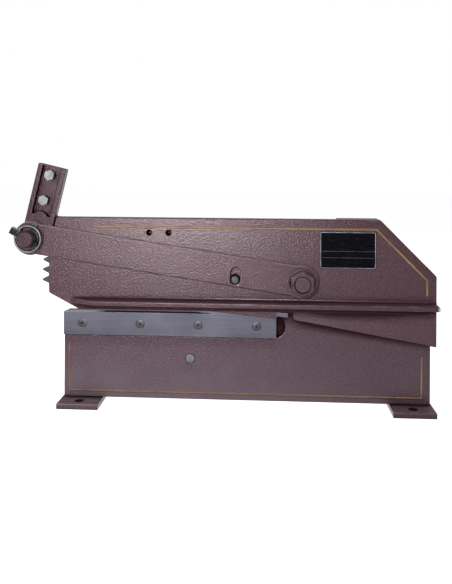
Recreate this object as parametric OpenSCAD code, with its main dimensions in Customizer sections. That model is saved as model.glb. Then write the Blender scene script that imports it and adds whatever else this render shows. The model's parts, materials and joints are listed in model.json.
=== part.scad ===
// Hand-lever plate shear for the bench. Front faces -Y, X runs to the right, Z is up.
// The origin lies on the bench, in the middle of the four holding-down bolts.

/* [Base] */
// Length of the lower body
body_l = 510; // [460:1:560]
// Thickness of the lower body
body_t = 24; // [22:1:32]
// Height of the body's top above the bench
body_top = 127.5; // [124:0.5:130]
// Length of a foot along the body
foot_w = 58; // [48:1:70]
// How far a foot reaches past each face of the body
foot_out = 30; // [28:1:40]
// Thickness of a foot
foot_t = 8; // [7:0.5:12]
// Diameter of the holding-down holes
bench_hole_d = 13; // [10:0.5:14]
// Shank of the screws that hold the feet
foot_screw_d = 8; // [6:0.5:10]
// Diameter of the bolt through the lower body
frame_bolt_d = 12; // [8:0.5:14]
// Place of that bolt along the body
frame_bolt_x = -76; // [-100:1:-50]
// Height of that bolt above the bench
frame_bolt_z = 65; // [50:1:80]

/* [Blades] */
// Length of each blade
blade_l = 300; // [280:1:320]
// Height of the lower blade
lower_blade_h = 32.5; // [30:0.5:36]
// Thickness of the lower blade
lower_blade_t = 12; // [10:0.5:15]
// How far the lower blade stands out at the body's left end
blade_overhang = 1; // [0:0.5:4]
// How far the lower blade stands proud of the body's face
blade_proud = 0.5; // [0.2:0.1:1]
// How far the lower blade's top stands above the body's top
blade_rise = 0.5; // [0:0.1:1]
// Height of the upper blade
upper_blade_h = 38; // [34:0.5:42]
// Thickness of the upper blade
upper_blade_t = 10; // [8:0.5:12]
// Shank diameter of the blade screws
blade_screw_d = 7; // [5:0.5:8]
// Number of screws in each blade
blade_screws = 4; // [3:1:5]

/* [Front cheek] */
// Thickness of the front cheek
cheek_t = 14; // [12:0.5:16]
// Height of the cheek's top edge above the bench
cheek_top = 264; // [256:1:272]
// Height of the cheek's lower edge above the bench
cheek_bottom = 139; // [137:0.5:141]
// Width and height of the sloping corner
slope_w = 74; // [60:1:90]
// Forward reach of the rib along the lower edge
rib_out = 20; // [14:1:26]
// Height of the rib
rib_h = 7; // [6:0.5:8]
// Forward reach of the neck at its nose
nose_out = 10; // [8:0.5:14]
// Height of the neck's lower corner at the right end
neck_low = 96; // [90:1:102]
// Diameter of the bolts that hold the neck to the body
cheek_bolt_d = 10; // [8:0.5:12]
// Distance between the two tapped holes
gauge_pitch = 26.5; // [22:0.5:32]
// Diameter of the tapped holes
gauge_hole_d = 6.8; // [5:0.1:8.5]
// Width of the nameplate
plate_w = 74; // [50:1:80]
// Height of the nameplate
plate_h = 49; // [30:1:52]

/* [Moving arm] */
// Place of the main pivot along the body
pivot_x = 77; // [72:1:82]
// Height of the main pivot above the bench
pivot_z = 181; // [179:0.5:183]
// Diameter of the main pivot
pivot_d = 24; // [20:0.5:26]
// Wall of the bronze bushes
bush_wall = 3; // [2:0.25:4]
// Thickness of the knife arm
arm_t = 17.6; // [16:0.2:20]
// Radius of the knife arm round the pivot
arm_r = 36; // [33:0.5:36.5]
// Slant of the upper edge at rest
open_angle = 6; // [5:0.25:7]
// Distance from the pivot to the cutting edge
knife_drop = 63; // [60:0.5:65]
// Travel of the arm in degrees
arm_travel = 6.5; // [5:0.25:6.75]
// Thickness of the front strap
strap_t = 7; // [5:0.5:9]
// Width of the front strap
strap_w = 41; // [39:0.5:46]
// Diameter of the stop pin
stop_d = 12; // [9:0.5:13]
// Distance from the pivot to the stop pin
stop_r = 89; // [80:1:100]
// Angle of the stop pin above the level through the pivot
stop_angle = 1.1; // [0.5:0.1:2]

/* [Lever drive] */
// Module of the teeth
tooth_module = 4.4; // [4.3:0.02:4.5]
// Teeth of the pinion
pinion_teeth = 9; // [9:1:10]
// Teeth of the full circle that the fixed sector is cut from
sector_teeth = 160; // [157:1:162]
// Thickness of the teeth
gear_t = 13; // [10:0.5:14]
// Angle of the lever pin above the level through the pivot
pin_angle = 8.4; // [8.1:0.1:8.7]
// Diameter of the lever pin inside the pinion
pin_d = 18; // [14:0.5:18.5]
// Diameter of the lever pin's front end
pin_front_d = 22; // [20:0.5:24]
// How far the lever pin stands out of the strap
pin_out = 22.5; // [21:0.5:28]
// Width of the hand lever's socket
lever_w = 39.5; // [36:0.5:44]
// Distance from the lever pin to the end of the socket
lever_l = 102; // [98:1:120]
// Thickness of the socket
socket_t = 13; // [11:0.5:15]
// Width of the pocket for the handle bar
pocket_w = 26; // [22:0.5:29]
// Depth of that pocket
pocket_depth = 7; // [5:0.5:8]
// Lean of the lever to the right at rest
lever_tilt = 13.3; // [10:0.1:14]
// Shank diameter of the handle bolts
handle_bolt_d = 8; // [6:0.5:9]
// Wire diameter of the linch ring
ring_wire = 3.2; // [2.5:0.1:3.6]
// Radius of the linch ring at the middle of its wire
ring_r = 17.4; // [16.8:0.1:19]
// Shank diameter of the linch pin
linch_d = 6; // [5:0.25:7]

/* [Hidden] */
$fn = 96;

paint = "#5a3d42";
steel = "#b9bec4";
zinc = "#c9ccd0";
black_steel = "#34353a";
bronze = "#a5793c";
plate_black = "#1b1b1d";

// Clearances: slide is between pieces that move past each other, fit is a running fit on a radius
slide = 0.3;
side_play = 0.4;
fit = 0.05;
// Small overlap that keeps a cut from ending on a face
cut = 1;

// Layers from the body's face towards the front
half_l = body_l / 2;
front = -body_t / 2;
shear = front - blade_proud;
upper_rear = shear - slide;
upper_front = upper_rear - upper_blade_t;
arm_rear = upper_rear - slide;
arm_front = arm_rear - arm_t;
cheek_rear = arm_front - slide;
cheek_front = cheek_rear - cheek_t;
strap_rear = cheek_front - side_play;
strap_front = strap_rear - strap_t;
rib_front = cheek_front - rib_out;
// Wall left in front of the toothed sector
sector_wall = 7.2;
gear_front = cheek_front + sector_wall;
gear_rear = gear_front + gear_t;
lever_front = strap_rear + side_play;
lever_rear = gear_front - side_play;
arm_end_front = gear_rear + side_play;

// Gear sizes
sector_r = tooth_module * sector_teeth / 2;
pinion_r = tooth_module * pinion_teeth / 2;
centre_r = sector_r + pinion_r;
pressure = 25;
shift = 0.3;
backlash = 0.9;
addendum = 1;
dedendum = 1.25;
tip_relief = 0.2;
tooth_pitch = 360 / sector_teeth;
sector_tip = sector_r + tooth_module * (addendum - shift);
sector_root = sector_r - tooth_module * (dedendum + shift);
pinion_tip = pinion_r + tooth_module * (addendum + shift - tip_relief);
pinion_root = pinion_r - tooth_module * (dedendum - shift);
tooth_first = -1;
tooth_last = 4;
sector_depth = 46;
sector_inner = sector_root - sector_depth;
cheek_left_r = sector_root - 0.5;
pin_x = pivot_x - centre_r * cos(pin_angle);
pin_z = pivot_z + centre_r * sin(pin_angle);

// Heights and places
blade_top = body_top + blade_rise;
blade_low = blade_top - lower_blade_h;
blade_left = -half_l - blade_overhang;
blade_right = blade_left + blade_l;
seat_floor = shear + lower_blade_t;
screw_margin = 27;
screw_step = (blade_l - 2 * screw_margin) / (blade_screws - 1);
foot_over = 2.5;
bench_x = half_l - foot_w / 2 + foot_over;
bench_y = body_t / 2 + foot_out / 2 + 1;
neck_top = pivot_z - arm_r - 2;
block_x = pivot_x + arm_r + 12;
nose_x = pivot_x - 10.5;
nose_z = blade_top - 5;
nut_af = pivot_d * 1.25;
nut_h = 15;
thread_d = pivot_d - 4;
head_h = 13;
washer_t = 2;
front_washer_t = 3;
washer_r = nut_af / 2 + 4;
bush_r = pivot_d / 2 + bush_wall;
pin_bush_r = pin_d / 2 + 2;
pin_front = strap_front - pin_out;
linch_y = pin_front + 13;
head_u = 12;
head_w = 14;
head_t = 8;
collar_front = linch_y + head_t / 2 + 0.2;
ring_stub_d = ring_wire + 0.6;
hinge_u = ring_r - 1.6;
ring_end = acos(hinge_u / ring_r);
linch_angle = 151;

// Extrudes a front view between two depths
module slab(y0, y1) {
    rotate([90, 0, 0]) translate([0, 0, -y1]) linear_extrude(y1 - y0) children();
}

// Round bar along the depth
module rod(x, z, r, y0, y1) {
    translate([x, y0, z]) rotate([-90, 0, 0]) cylinder(r = r, h = y1 - y0);
}

// Hexagon bar along the depth, with a corner at the top
module hex_rod(x, z, across, y0, y1) {
    translate([x, y0, z]) rotate([-90, 30, 0]) cylinder(r = across / sqrt(3), h = y1 - y0, $fn = 6);
}

// Cone along the depth, from one radius to another
module cone(x, z, r0, r1, y0, y1) {
    translate([x, y0, z]) rotate([-90, 0, 0]) cylinder(r1 = r0, r2 = r1, h = y1 - y0);
}

// Places children in the arm's own view: the pivot at the origin, the cutting edge level when shut
module arm_view() {
    translate([pivot_x, pivot_z]) rotate(-open_angle) children();
}

// Places solids drawn round the pivot on the open arm
module on_arm() {
    translate([pivot_x, 0, pivot_z]) rotate([0, open_angle, 0]) children();
}

// Places children in the lever's own view: the lever pin at the origin, the socket straight up
module lever_view() {
    translate([pin_x, pin_z]) rotate(-lever_tilt) children();
}

// Places solids drawn round the lever pin on the lever at rest
module on_lever() {
    translate([pin_x, 0, pin_z]) rotate([0, lever_tilt, 0]) children();
}

// Base

module blade_seat_view() {
    seat_r = lower_blade_h / 2;
    translate([-half_l - cut, blade_low]) square([blade_right - seat_r / 4 + half_l + cut, lower_blade_h + cut]);
    translate([blade_right - seat_r / 4, blade_low + seat_r]) circle(seat_r);
}

cheek_bolt_step = [-30, 1.5];
cheek_bolt_places = [for (i = [0:2]) [half_l - 20, body_top - 12.5] + i * cheek_bolt_step];
cheek_head_r = cheek_bolt_d * 0.8;
cheek_head_h = cheek_bolt_d;

// Body with a raised shoulder behind the throat and the neck
module base_body() {
    color(paint) difference() {
        slab(front, -front) {
            translate([-half_l, foot_t]) square([body_l, body_top - foot_t]);
            translate([throat_x, foot_t]) square([half_l - throat_x, throat_top - foot_t]);
        }
        slab(front - cut, seat_floor) blade_seat_view();
        for (i = [0:blade_screws - 1])
            rod(blade_left + screw_margin + i * screw_step, blade_low + lower_blade_h / 2, blade_screw_d / 2,
                seat_floor - cut, seat_floor + blade_thread);
        rod(frame_bolt_x, frame_bolt_z, frame_bolt_d / 2, front - cut, -front + cut);
        for (p = cheek_bolt_places) {
            rod(p[0], p[1], cheek_bolt_d / 2, front - cut, -front + cut);
            rod(p[0], p[1], cheek_head_r, -front - cheek_head_h, -front + cut);
        }
        foot_screw_places() translate([0, 0, foot_t - cut]) cylinder(d = foot_screw_d, h = foot_thread + cut);
    }
}

throat_x = blade_left + blade_l + 6;
throat_top = cheek_bottom + 2;
foot_thread = 18;
foot_sink = 0.3;
foot_head_d = foot_screw_d * 2;
blade_thread = 10;
blade_head_d = blade_screw_d + 5.2;

module foot_screw_places() {
    for (sx = [-1, 1], k = [-1, 1])
        translate([sx * bench_x + k * foot_w / 4, 0, 0]) children();
}

module foot(sx) {
    color(paint) difference() {
        translate([sx * bench_x - foot_w / 2, front - foot_out, 0])
            cube([foot_w, body_t + 2 * foot_out, foot_t]);
        for (sy = [-1, 1])
            translate([sx * bench_x, sy * bench_y, -cut]) cylinder(d = bench_hole_d, h = foot_t + 2 * cut);
        foot_screw_places() {
            translate([0, 0, foot_sink]) foot_screw(fit);
            translate([0, 0, -cut]) cylinder(r = foot_head_d / 2 + fit, h = foot_sink + cut);
        }
    }
}

module foot_screw(extra) {
    translate([0, 0, -extra]) cylinder(r1 = foot_head_d / 2 + extra, r2 = foot_screw_d / 2 + extra,
        h = (foot_head_d - foot_screw_d) / 2 + extra);
    cylinder(r = foot_screw_d / 2 + extra, h = foot_t + (extra > 0 ? cut : foot_thread - 2));
}

module left_foot() { foot(-1); }
module right_foot() { foot(1); }

module foot_screws() {
    color(black_steel) foot_screw_places() difference() {
        translate([0, 0, foot_sink]) foot_screw(0);
        translate([0, 0, -cut]) cylinder(d = foot_screw_d * 0.6, h = 4 + cut, $fn = 6);
    }
}

module frame_bolt() {
    color(zinc) {
        rod(frame_bolt_x, frame_bolt_z, frame_bolt_d / 2, front - 0.6, -front + cut);
        hex_rod(frame_bolt_x, frame_bolt_z, frame_bolt_d * 1.5, -front, -front + frame_bolt_d * 0.65);
    }
}

module lower_screw_place(i) {
    translate([blade_left + screw_margin + i * screw_step, 0, blade_low + lower_blade_h / 2]) children();
}

// Countersunk screw whose head faces the front at depth y
module front_screw(y, extra, length) {
    cone(0, 0, blade_head_d / 2 + extra, blade_screw_d / 2 + extra, y, y + (blade_head_d - blade_screw_d) / 2);
    rod(0, 0, blade_screw_d / 2 + extra, y, y + length);
}

module lower_blade() {
    color(steel) difference() {
        slab(shear, seat_floor) translate([blade_left, blade_low]) square([blade_l, lower_blade_h]);
        for (i = [0:blade_screws - 1]) lower_screw_place(i) {
            front_screw(shear + screw_sink, fit, lower_blade_t + cut);
            rod(0, 0, blade_head_d / 2 + fit, shear - cut, shear + screw_sink);
        }
    }
}

screw_sink = 0.4;

module lower_blade_screws() {
    color(black_steel) for (i = [0:blade_screws - 1]) lower_screw_place(i) difference() {
        front_screw(shear + screw_sink, 0, lower_blade_t + blade_thread - 2);
        hex_rod(0, 0, blade_screw_d * 0.65, shear - cut, shear + screw_sink + 3.5);
    }
}

// Front cheek

// Sloping lower left corner of the cheek
cut_x = 29;
cut_rise = 36;
cut_reach = 69;

module cheek_view() {
    intersection() {
        translate([pivot_x, pivot_z]) circle(cheek_left_r);
        polygon([[-half_l + cut_x, cheek_bottom], [-half_l + cut_x - cut_reach, cheek_bottom + cut_rise],
            [-half_l + cut_x - cut_reach, cheek_top], [half_l - slope_w, cheek_top],
            [half_l, cheek_top - slope_w], [half_l, cheek_bottom]]);
    }
}

module block_view() {
    polygon([[block_x, neck_top - cut], [block_x, cheek_top], [half_l - slope_w, cheek_top],
        [half_l, cheek_top - slope_w], [half_l, neck_top - cut]]);
}

module neck_view() {
    nose_r = 5;
    translate([nose_x + nose_r, nose_z + nose_r]) circle(nose_r);
    polygon([[nose_x, nose_z + nose_r], [nose_x, neck_top], [half_l, neck_top], [half_l, neck_low],
        [nose_x + nose_r, nose_z]]);
}

module neck_plan() {
    polygon([[nose_x - cut, front], [nose_x - cut, front - nose_out], [half_l, cheek_front], [half_l, front]]);
}

rib_low = cheek_bottom + 8;
rib_tip_x = -half_l + 17;
rib_end_w = 37;
rib_fillet = 3;

module rib() {
    difference() {
        translate([0, 0, rib_low]) linear_extrude(rib_h + rib_fillet)
            polygon([[rib_tip_x, cheek_front + cut], [rib_tip_x + rib_end_w, rib_front], [half_l, rib_front],
                [half_l, cheek_front + cut]]);
        translate([-half_l - cut, cheek_front - rib_fillet, rib_low + rib_h + rib_fillet])
            rotate([0, 90, 0]) cylinder(r = rib_fillet, h = body_l + 2 * cut);
        translate([-half_l - cut, rib_front - cut, rib_low + rib_h])
            cube([body_l + 2 * cut, rib_out - rib_fillet + cut, rib_fillet + cut]);
    }
}

module sector_place(k) {
    translate([pivot_x, 0, pivot_z]) rotate([0, pin_angle - (k + 0.5) * tooth_pitch, 0])
        translate([-(sector_inner + sector_screw_in), 0, 0]) children();
}

sector_screw_d = 8;
sector_screw_in = 22;
sector_screw_ks = [-0.75, 1.5, 3.25];
gauge_in = 139;
gauge_down = 20;
gauge_x = -half_l + gauge_in;
gauge_z = cheek_top - gauge_down;

module front_cheek() {
    color(paint) difference() {
        union() {
            slab(cheek_front, cheek_rear) cheek_view();
            slab(cheek_front, front) block_view();
            rib();
            intersection() {
                slab(cheek_front, front) neck_view();
                linear_extrude(cheek_top) neck_plan();
            }
        }
        slab(gear_front, cheek_rear + cut) sector_room();
        for (k = sector_screw_ks) sector_place(k)
            rod(0, 0, sector_screw_d / 2, gear_front - sector_wall + 1.5, gear_front + cut);
        rod(pivot_x, pivot_z, pivot_d / 2, cheek_front - cut, cheek_rear + cut);
        rod(stop_x, stop_z, stop_d / 2, cheek_front - cut, cheek_front + stop_depth);
        for (i = [0, 1]) rod(gauge_x + (i - 0.5) * gauge_pitch, gauge_z, gauge_hole_d / 2,
            cheek_front - cut, cheek_front + gauge_depth);
        for (p = cheek_bolt_places) rod(p[0], p[1], cheek_bolt_d / 2, front - cheek_thread, front + cut);
    }
}

gauge_depth = 11;
cheek_thread = 12;
stop_depth = 10;
stop_x = pivot_x - stop_r * cos(stop_angle);
stop_z = pivot_z + stop_r * sin(stop_angle);

module cheek_bolts() {
    color(black_steel) for (p = cheek_bolt_places) difference() {
        union() {
            rod(p[0], p[1], cheek_bolt_d / 2, front - cheek_thread + 1, -front - cheek_head_h + cut);
            rod(p[0], p[1], cheek_head_r - 0.3, -front - cheek_head_h, -front - 0.3);
        }
        hex_rod(p[0], p[1], cheek_bolt_d * 0.8, -front - cheek_head_h / 2, -front + cut);
    }
}

plate_margin = [6, 16];
plate_t = 1;

module nameplate() {
    color(plate_black) slab(cheek_front - plate_t, cheek_front)
        translate([half_l - slope_w - plate_margin[0] - plate_w, cheek_top - plate_margin[1] - plate_h])
            square([plate_w, plate_h]);
}

module stop_pin() {
    chamfer = 1.5;
    color(steel) {
        rod(stop_x, stop_z, stop_d / 2, strap_front + 1, cheek_front + stop_depth);
        cone(stop_x, stop_z, stop_d / 2 - chamfer, stop_d / 2, strap_front + 1 - chamfer, strap_front + 1);
    }
}

// Toothed sector and pinion

// Involute of an angle, in radians
function involute(a) = tan(a) - a * PI / 180;

// Half of a tooth's width at a radius, in degrees
function half_tooth(r, pitch_r, teeth, offset) =
    let (base = pitch_r * cos(pressure), a = acos(min(1, base / max(r, base))))
    ((PI / 2 + 2 * offset * tan(pressure)) / teeth - backlash / (4 * pitch_r) + involute(pressure)
        - involute(a)) * 180 / PI;

flank_steps = 6;

// Points of one tooth from root to tip and back, at an angle about the origin
function tooth_points(at, root, tip, pitch_r, teeth, offset) =
    let (radii = [for (i = [0:flank_steps]) root + (tip - root) * i / flank_steps])
    concat(
        [for (i = [0:flank_steps]) let (r = radii[i], h = half_tooth(r, pitch_r, teeth, offset))
            r * [cos(at - h), sin(at - h)]],
        [for (i = [flank_steps:-1:0]) let (r = radii[i], h = half_tooth(r, pitch_r, teeth, offset))
            r * [cos(at + h), sin(at + h)]]);

// Angles of the sector's ends, counted round from the left and downwards
sector_top_angle = 180 - pin_angle + (tooth_first - 0.5) * tooth_pitch;
sector_low_angle = 180 - pin_angle + (tooth_last + 0.5) * tooth_pitch;

module sector_body_view(inner, outer, margin) {
    steps = 8;
    span = sector_low_angle - sector_top_angle + 2 * margin;
    arc = [for (i = [0:steps]) sector_top_angle - margin + span * i / steps];
    translate([pivot_x, pivot_z]) intersection() {
        difference() {
            circle(outer);
            circle(inner);
        }
        polygon(concat([[0, 0]], [for (a = arc) 2 * outer * [cos(a), sin(a)]]));
    }
}

// Open towards the pinion, past the teeth
room_past = 20;
module sector_room() { sector_body_view(sector_inner - fit, sector_tip + room_past, fit); }

module sector_view() {
    sector_body_view(sector_inner, sector_root, 0);
    translate([pivot_x, pivot_z]) for (k = [tooth_first:tooth_last])
        polygon(tooth_points(180 - pin_angle + k * tooth_pitch, sector_root - 0.5, sector_tip, sector_r,
            sector_teeth, -shift));
}

module toothed_sector() {
    color(black_steel) difference() {
        slab(gear_front, gear_rear) sector_view();
        for (k = sector_screw_ks) sector_place(k) {
            rod(0, 0, sector_screw_d / 2 + fit, gear_front - cut, gear_rear + cut);
            rod(0, 0, sector_screw_d * 0.75, gear_rear - sector_screw_d, gear_rear + cut);
        }
    }
}

module sector_screws() {
    color(black_steel) for (k = sector_screw_ks) sector_place(k) difference() {
        union() {
            rod(0, 0, sector_screw_d / 2, gear_front - sector_wall + 2, gear_rear - sector_screw_d + cut);
            rod(0, 0, sector_screw_d * 0.75 - 0.2, gear_rear - sector_screw_d, gear_rear - 0.3);
        }
        hex_rod(0, 0, sector_screw_d * 0.75, gear_rear - sector_screw_d / 2, gear_rear + cut);
    }
}

module pinion_view() {
    circle(pinion_root);
    for (i = [0:pinion_teeth - 1])
        polygon(tooth_points(-pin_angle + (i + 0.5) * 360 / pinion_teeth, pinion_root - 0.5, pinion_tip, pinion_r,
            pinion_teeth, shift));
}

dowel_d = 4;
dowel_r = (pin_bush_r + pinion_tip) / 2 - 0.5;
dowel_depth = 6;
dowel_step = 360 / pinion_teeth;

// Dowels sit behind teeth, three teeth apart
module dowel_places() {
    for (i = [1:3:pinion_teeth - 1]) let (a = -pin_angle + (i + 0.5) * dowel_step)
        translate([pin_x + dowel_r * cos(a), 0, pin_z + dowel_r * sin(a)]) children();
}

module lever_pinion() {
    color(black_steel) difference() {
        slab(lever_rear, gear_rear) translate([pin_x, pin_z]) pinion_view();
        rod(pin_x, pin_z, pin_bush_r, lever_rear - cut, gear_rear + cut);
        dowel_places() rod(0, 0, dowel_d / 2, lever_rear - cut, lever_rear + dowel_depth);
    }
}

module pinion_dowels() {
    color(steel) dowel_places() rod(0, 0, dowel_d / 2, lever_front + 2, lever_rear + dowel_depth - 0.3);
}

module pinion_bush() {
    color(bronze) difference() {
        rod(pin_x, pin_z, pin_bush_r, lever_front + 0.2, gear_rear);
        rod(pin_x, pin_z, pin_d / 2 + fit, lever_front - cut, gear_rear + cut);
    }
}

// Main pivot

rear_washer_y = arm_rear + slide;

module pivot_bolt() {
    head = rear_washer_y + washer_t;
    color(paint) {
        rod(pivot_x, pivot_z, pivot_d / 2, strap_front - slide, head + cut);
        rod(pivot_x, pivot_z, thread_d / 2, strap_front - slide - front_washer_t - nut_h - 2, strap_front);
        hex_rod(pivot_x, pivot_z, nut_af + 6, head, head + head_h);
    }
}

module pivot_rear_washer() {
    color(zinc) difference() {
        rod(pivot_x, pivot_z, washer_r + 3, rear_washer_y, rear_washer_y + washer_t);
        rod(pivot_x, pivot_z, pivot_d / 2, rear_washer_y - cut, rear_washer_y + washer_t + cut);
    }
}

module pivot_front_washer() {
    y = strap_front - slide - front_washer_t;
    color(paint) difference() {
        rod(pivot_x, pivot_z, washer_r - 1.5, y, y + front_washer_t);
        rod(pivot_x, pivot_z, thread_d / 2, y - cut, y + front_washer_t + cut);
    }
}

module pivot_nut() {
    y = strap_front - slide - front_washer_t - nut_h;
    color(paint) difference() {
        intersection() {
            hex_rod(pivot_x, pivot_z, nut_af, y, y + nut_h);
            cone(pivot_x, pivot_z, nut_af * 0.5, nut_af * 0.5 + nut_h * 1.7, y, y + nut_h);
        }
        rod(pivot_x, pivot_z, thread_d / 2, y - cut, y + nut_h + cut);
    }
}

// Moving arm: knife arm behind the cheek, strap in front of it

heel_x = -12;
flange_x = -29.5;
heel_low = 7.5;
heel_h = 6;
flange_lip = 5;
arm_end_r = 24;
arm_hide = 7;
arm_crest = 7;
// Straight edges run this far inside the round ends, so that they cross them cleanly
round_shy = 0.6;
tail_cut = 8;
arm_end_angle = pin_angle - open_angle;
blade_tail_x = heel_x - blade_l;

// Upper blade, cutting edge at the bottom, heel at the right
module upper_blade_view() {
    heel_z = -knife_drop + heel_low;
    polygon([[blade_tail_x, -knife_drop], [flange_x, -knife_drop], [flange_x + 3, heel_z], [heel_x, heel_z],
        [heel_x, heel_z + heel_h], [flange_x - 10, heel_z + heel_h], [flange_x - 16, -knife_drop + upper_blade_h],
        [blade_tail_x, -knife_drop + upper_blade_h]]);
}

module arm_outline() {
    end = centre_r * [-cos(arm_end_angle), sin(arm_end_angle)];
    circle(arm_r);
    translate(end) circle(arm_end_r);
    low = -knife_drop + flange_lip;
    reach = arm_end_r - round_shy;
    polygon([[0, arm_r - round_shy], end + [30, reach + arm_crest], end + [12, reach + arm_crest],
        end + [0, reach], end - [0, reach], [-cheek_left_r + arm_hide, end[1] - reach],
        [blade_tail_x, low + tail_cut], [blade_tail_x + tail_cut, low],
        [flange_x, low], [flange_x, -knife_drop + heel_low + heel_h], [-arm_r / 4, -arm_r * 0.95], [0, 0]]);
}

module upper_screw_place(i) {
    on_arm() translate([blade_tail_x + screw_margin + i * (flange_x - 16 - blade_tail_x - 2 * screw_margin)
        / (blade_screws - 1), 0, -knife_drop + upper_blade_h * 0.55]) children();
}

// Countersunk screw whose head faces the back at depth y
module rear_screw(y, extra, length) {
    cone(0, 0, blade_screw_d / 2 + extra, blade_head_d / 2 + extra, y - (blade_head_d - blade_screw_d) / 2, y);
    rod(0, 0, blade_screw_d / 2 + extra, y - length, y);
}

arm_grip = 6;

module knife_arm() {
    color(paint) difference() {
        slab(arm_front, arm_rear) arm_view() arm_outline();
        slab(upper_front, arm_rear + cut) arm_view() upper_blade_view();
        slab(arm_front - cut, arm_end_front) arm_view() difference() {
            circle(centre_r + 2 * arm_end_r);
            circle(sector_inner - 4);
        }
        rod(pivot_x, pivot_z, bush_r, arm_front - cut, arm_rear + cut);
        rod(pin_x, pin_z, pin_d / 2, arm_front - cut, arm_rear + cut);
        for (i = [0:blade_screws - 1]) upper_screw_place(i)
            rod(0, 0, blade_screw_d / 2, upper_front - arm_grip, upper_front + cut);
    }
}

module upper_blade() {
    color(steel) difference() {
        slab(upper_front, upper_rear) arm_view() upper_blade_view();
        for (i = [0:blade_screws - 1]) upper_screw_place(i) {
            rear_screw(upper_rear - screw_sink, fit, upper_blade_t + cut);
            rod(0, 0, blade_head_d / 2 + fit, upper_rear - screw_sink, upper_rear + cut);
        }
    }
}

module upper_blade_screws() {
    color(black_steel) for (i = [0:blade_screws - 1]) upper_screw_place(i) difference() {
        rear_screw(upper_rear - screw_sink, 0, upper_blade_t - screw_sink + arm_grip - 1);
        hex_rod(0, 0, blade_screw_d * 0.65, upper_rear - screw_sink - 3.5, upper_rear + cut);
    }
}

module bush(y0, y1) {
    color(bronze) difference() {
        rod(pivot_x, pivot_z, bush_r, y0, y1);
        rod(pivot_x, pivot_z, pivot_d / 2 + fit, y0 - cut, y1 + cut);
    }
}

module arm_bush() { bush(arm_front, arm_rear); }
module strap_bush() { bush(strap_front, strap_rear); }

strap_end_r = 23;
strap_flare = 2;

module strap_view() {
    circle(strap_w / 2 + strap_flare);
    rotate(180 - pin_angle) translate([0, -strap_w / 2]) square([centre_r, strap_w]);
    translate([pin_x - pivot_x, pin_z - pivot_z]) circle(strap_end_r);
}

slot_play = 0.5;
band_shy = 0.15;

// Arc slot for the stop pin: the pin rests at its lower end
module slot_view() {
    half = stop_d / 2 + slot_play;
    a0 = 180 - stop_angle;
    a1 = a0 - arm_travel;
    steps = 6;
    for (a = [a0, a1]) rotate(a) translate([stop_r, 0]) circle(half);
    intersection() {
        difference() {
            circle(stop_r + half - band_shy);
            circle(stop_r - half + band_shy);
        }
        polygon(concat([[0, 0]], [for (i = [0:steps]) let (a = a0 + (a1 - a0) * i / steps)
            2 * stop_r * [cos(a), sin(a)]]));
    }
}

oiler_d = 8;
oiler_reach = 18.5;
oiler_angle = 69;
oiler_x = pin_x + oiler_reach * cos(oiler_angle);
oiler_z = pin_z + oiler_reach * sin(oiler_angle);

module strap_arm() {
    color(paint) difference() {
        slab(strap_front, strap_rear) translate([pivot_x, pivot_z]) difference() {
            strap_view();
            slot_view();
        }
        rod(pivot_x, pivot_z, bush_r, strap_front - cut, strap_rear + cut);
        rod(pin_x, pin_z, pin_front_d / 2 + fit, strap_front - cut, strap_rear + cut);
        rod(oiler_x, oiler_z, oiler_d / 4, strap_front - cut, strap_rear + cut);
    }
}

module oiler() {
    stem = strap_rear - 1;
    color(zinc) difference() {
        union() {
            rod(oiler_x, oiler_z, oiler_d / 4, strap_front - cut, stem);
            rod(oiler_x, oiler_z, oiler_d / 2, strap_front - 2.5, strap_front);
        }
        rod(oiler_x, oiler_z, oiler_d / 4 - 0.5, strap_front - 2.5 - cut, strap_front - 0.5);
    }
}

// Lever pin and its linch pin

pin_nut_h = 8;

module lever_pin() {
    chamfer = 2;
    color(paint) difference() {
        union() {
            rod(pin_x, pin_z, pin_d / 2, strap_rear - cut, arm_rear);
            rod(pin_x, pin_z, pin_d / 2 - 2, arm_rear - cut, arm_rear + pin_nut_h + 2);
            rod(pin_x, pin_z, pin_front_d / 2, pin_front + chamfer, strap_rear);
            cone(pin_x, pin_z, pin_front_d / 2 - chamfer, pin_front_d / 2, pin_front, pin_front + chamfer);
        }
        on_linch() rotate([0, 90, 0]) cylinder(r = linch_d / 2 + fit, h = 4 * pin_front_d, center = true);
    }
}

module lever_pin_nut() {
    color(zinc) difference() {
        hex_rod(pin_x, pin_z, pin_d * 1.35, arm_rear, arm_rear + pin_nut_h);
        rod(pin_x, pin_z, pin_d / 2 - 2, arm_rear - cut, arm_rear + pin_nut_h + cut);
    }
}

module pin_collar() {
    color(black_steel) difference() {
        rod(pin_x, pin_z, pin_front_d / 2 + 2, collar_front, strap_front);
        rod(pin_x, pin_z, pin_front_d / 2 + fit, collar_front - cut, strap_front + cut);
    }
}

// Places children on the lever pin with +X along the linch pin towards its head
module on_linch() {
    translate([pin_x, linch_y, pin_z]) rotate([0, -linch_angle, 0]) children();
}

linch_taper = 2;
linch_tip = ring_r - ring_wire / 2 - linch_taper - slide;

module linch_pin() {
    color(zinc) on_linch() difference() {
        union() {
            translate([-linch_tip, 0, 0]) rotate([0, 90, 0])
                cylinder(r = linch_d / 2, h = linch_tip + head_u + cut);
            translate([-linch_tip - linch_taper, 0, 0]) rotate([0, 90, 0])
                cylinder(r1 = linch_d / 2 - linch_taper / 2, r2 = linch_d / 2, h = linch_taper);
            translate([head_u, -head_t / 2, -head_w / 2 + ring_gap]) cube([head_w, head_t, head_w - 2 * ring_gap]);
        }
        translate([hinge_u, 0, 0]) cylinder(r = ring_stub_d / 2 + fit, h = 2 * head_w, center = true);
    }
}

ring_gap = 2.2;

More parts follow.
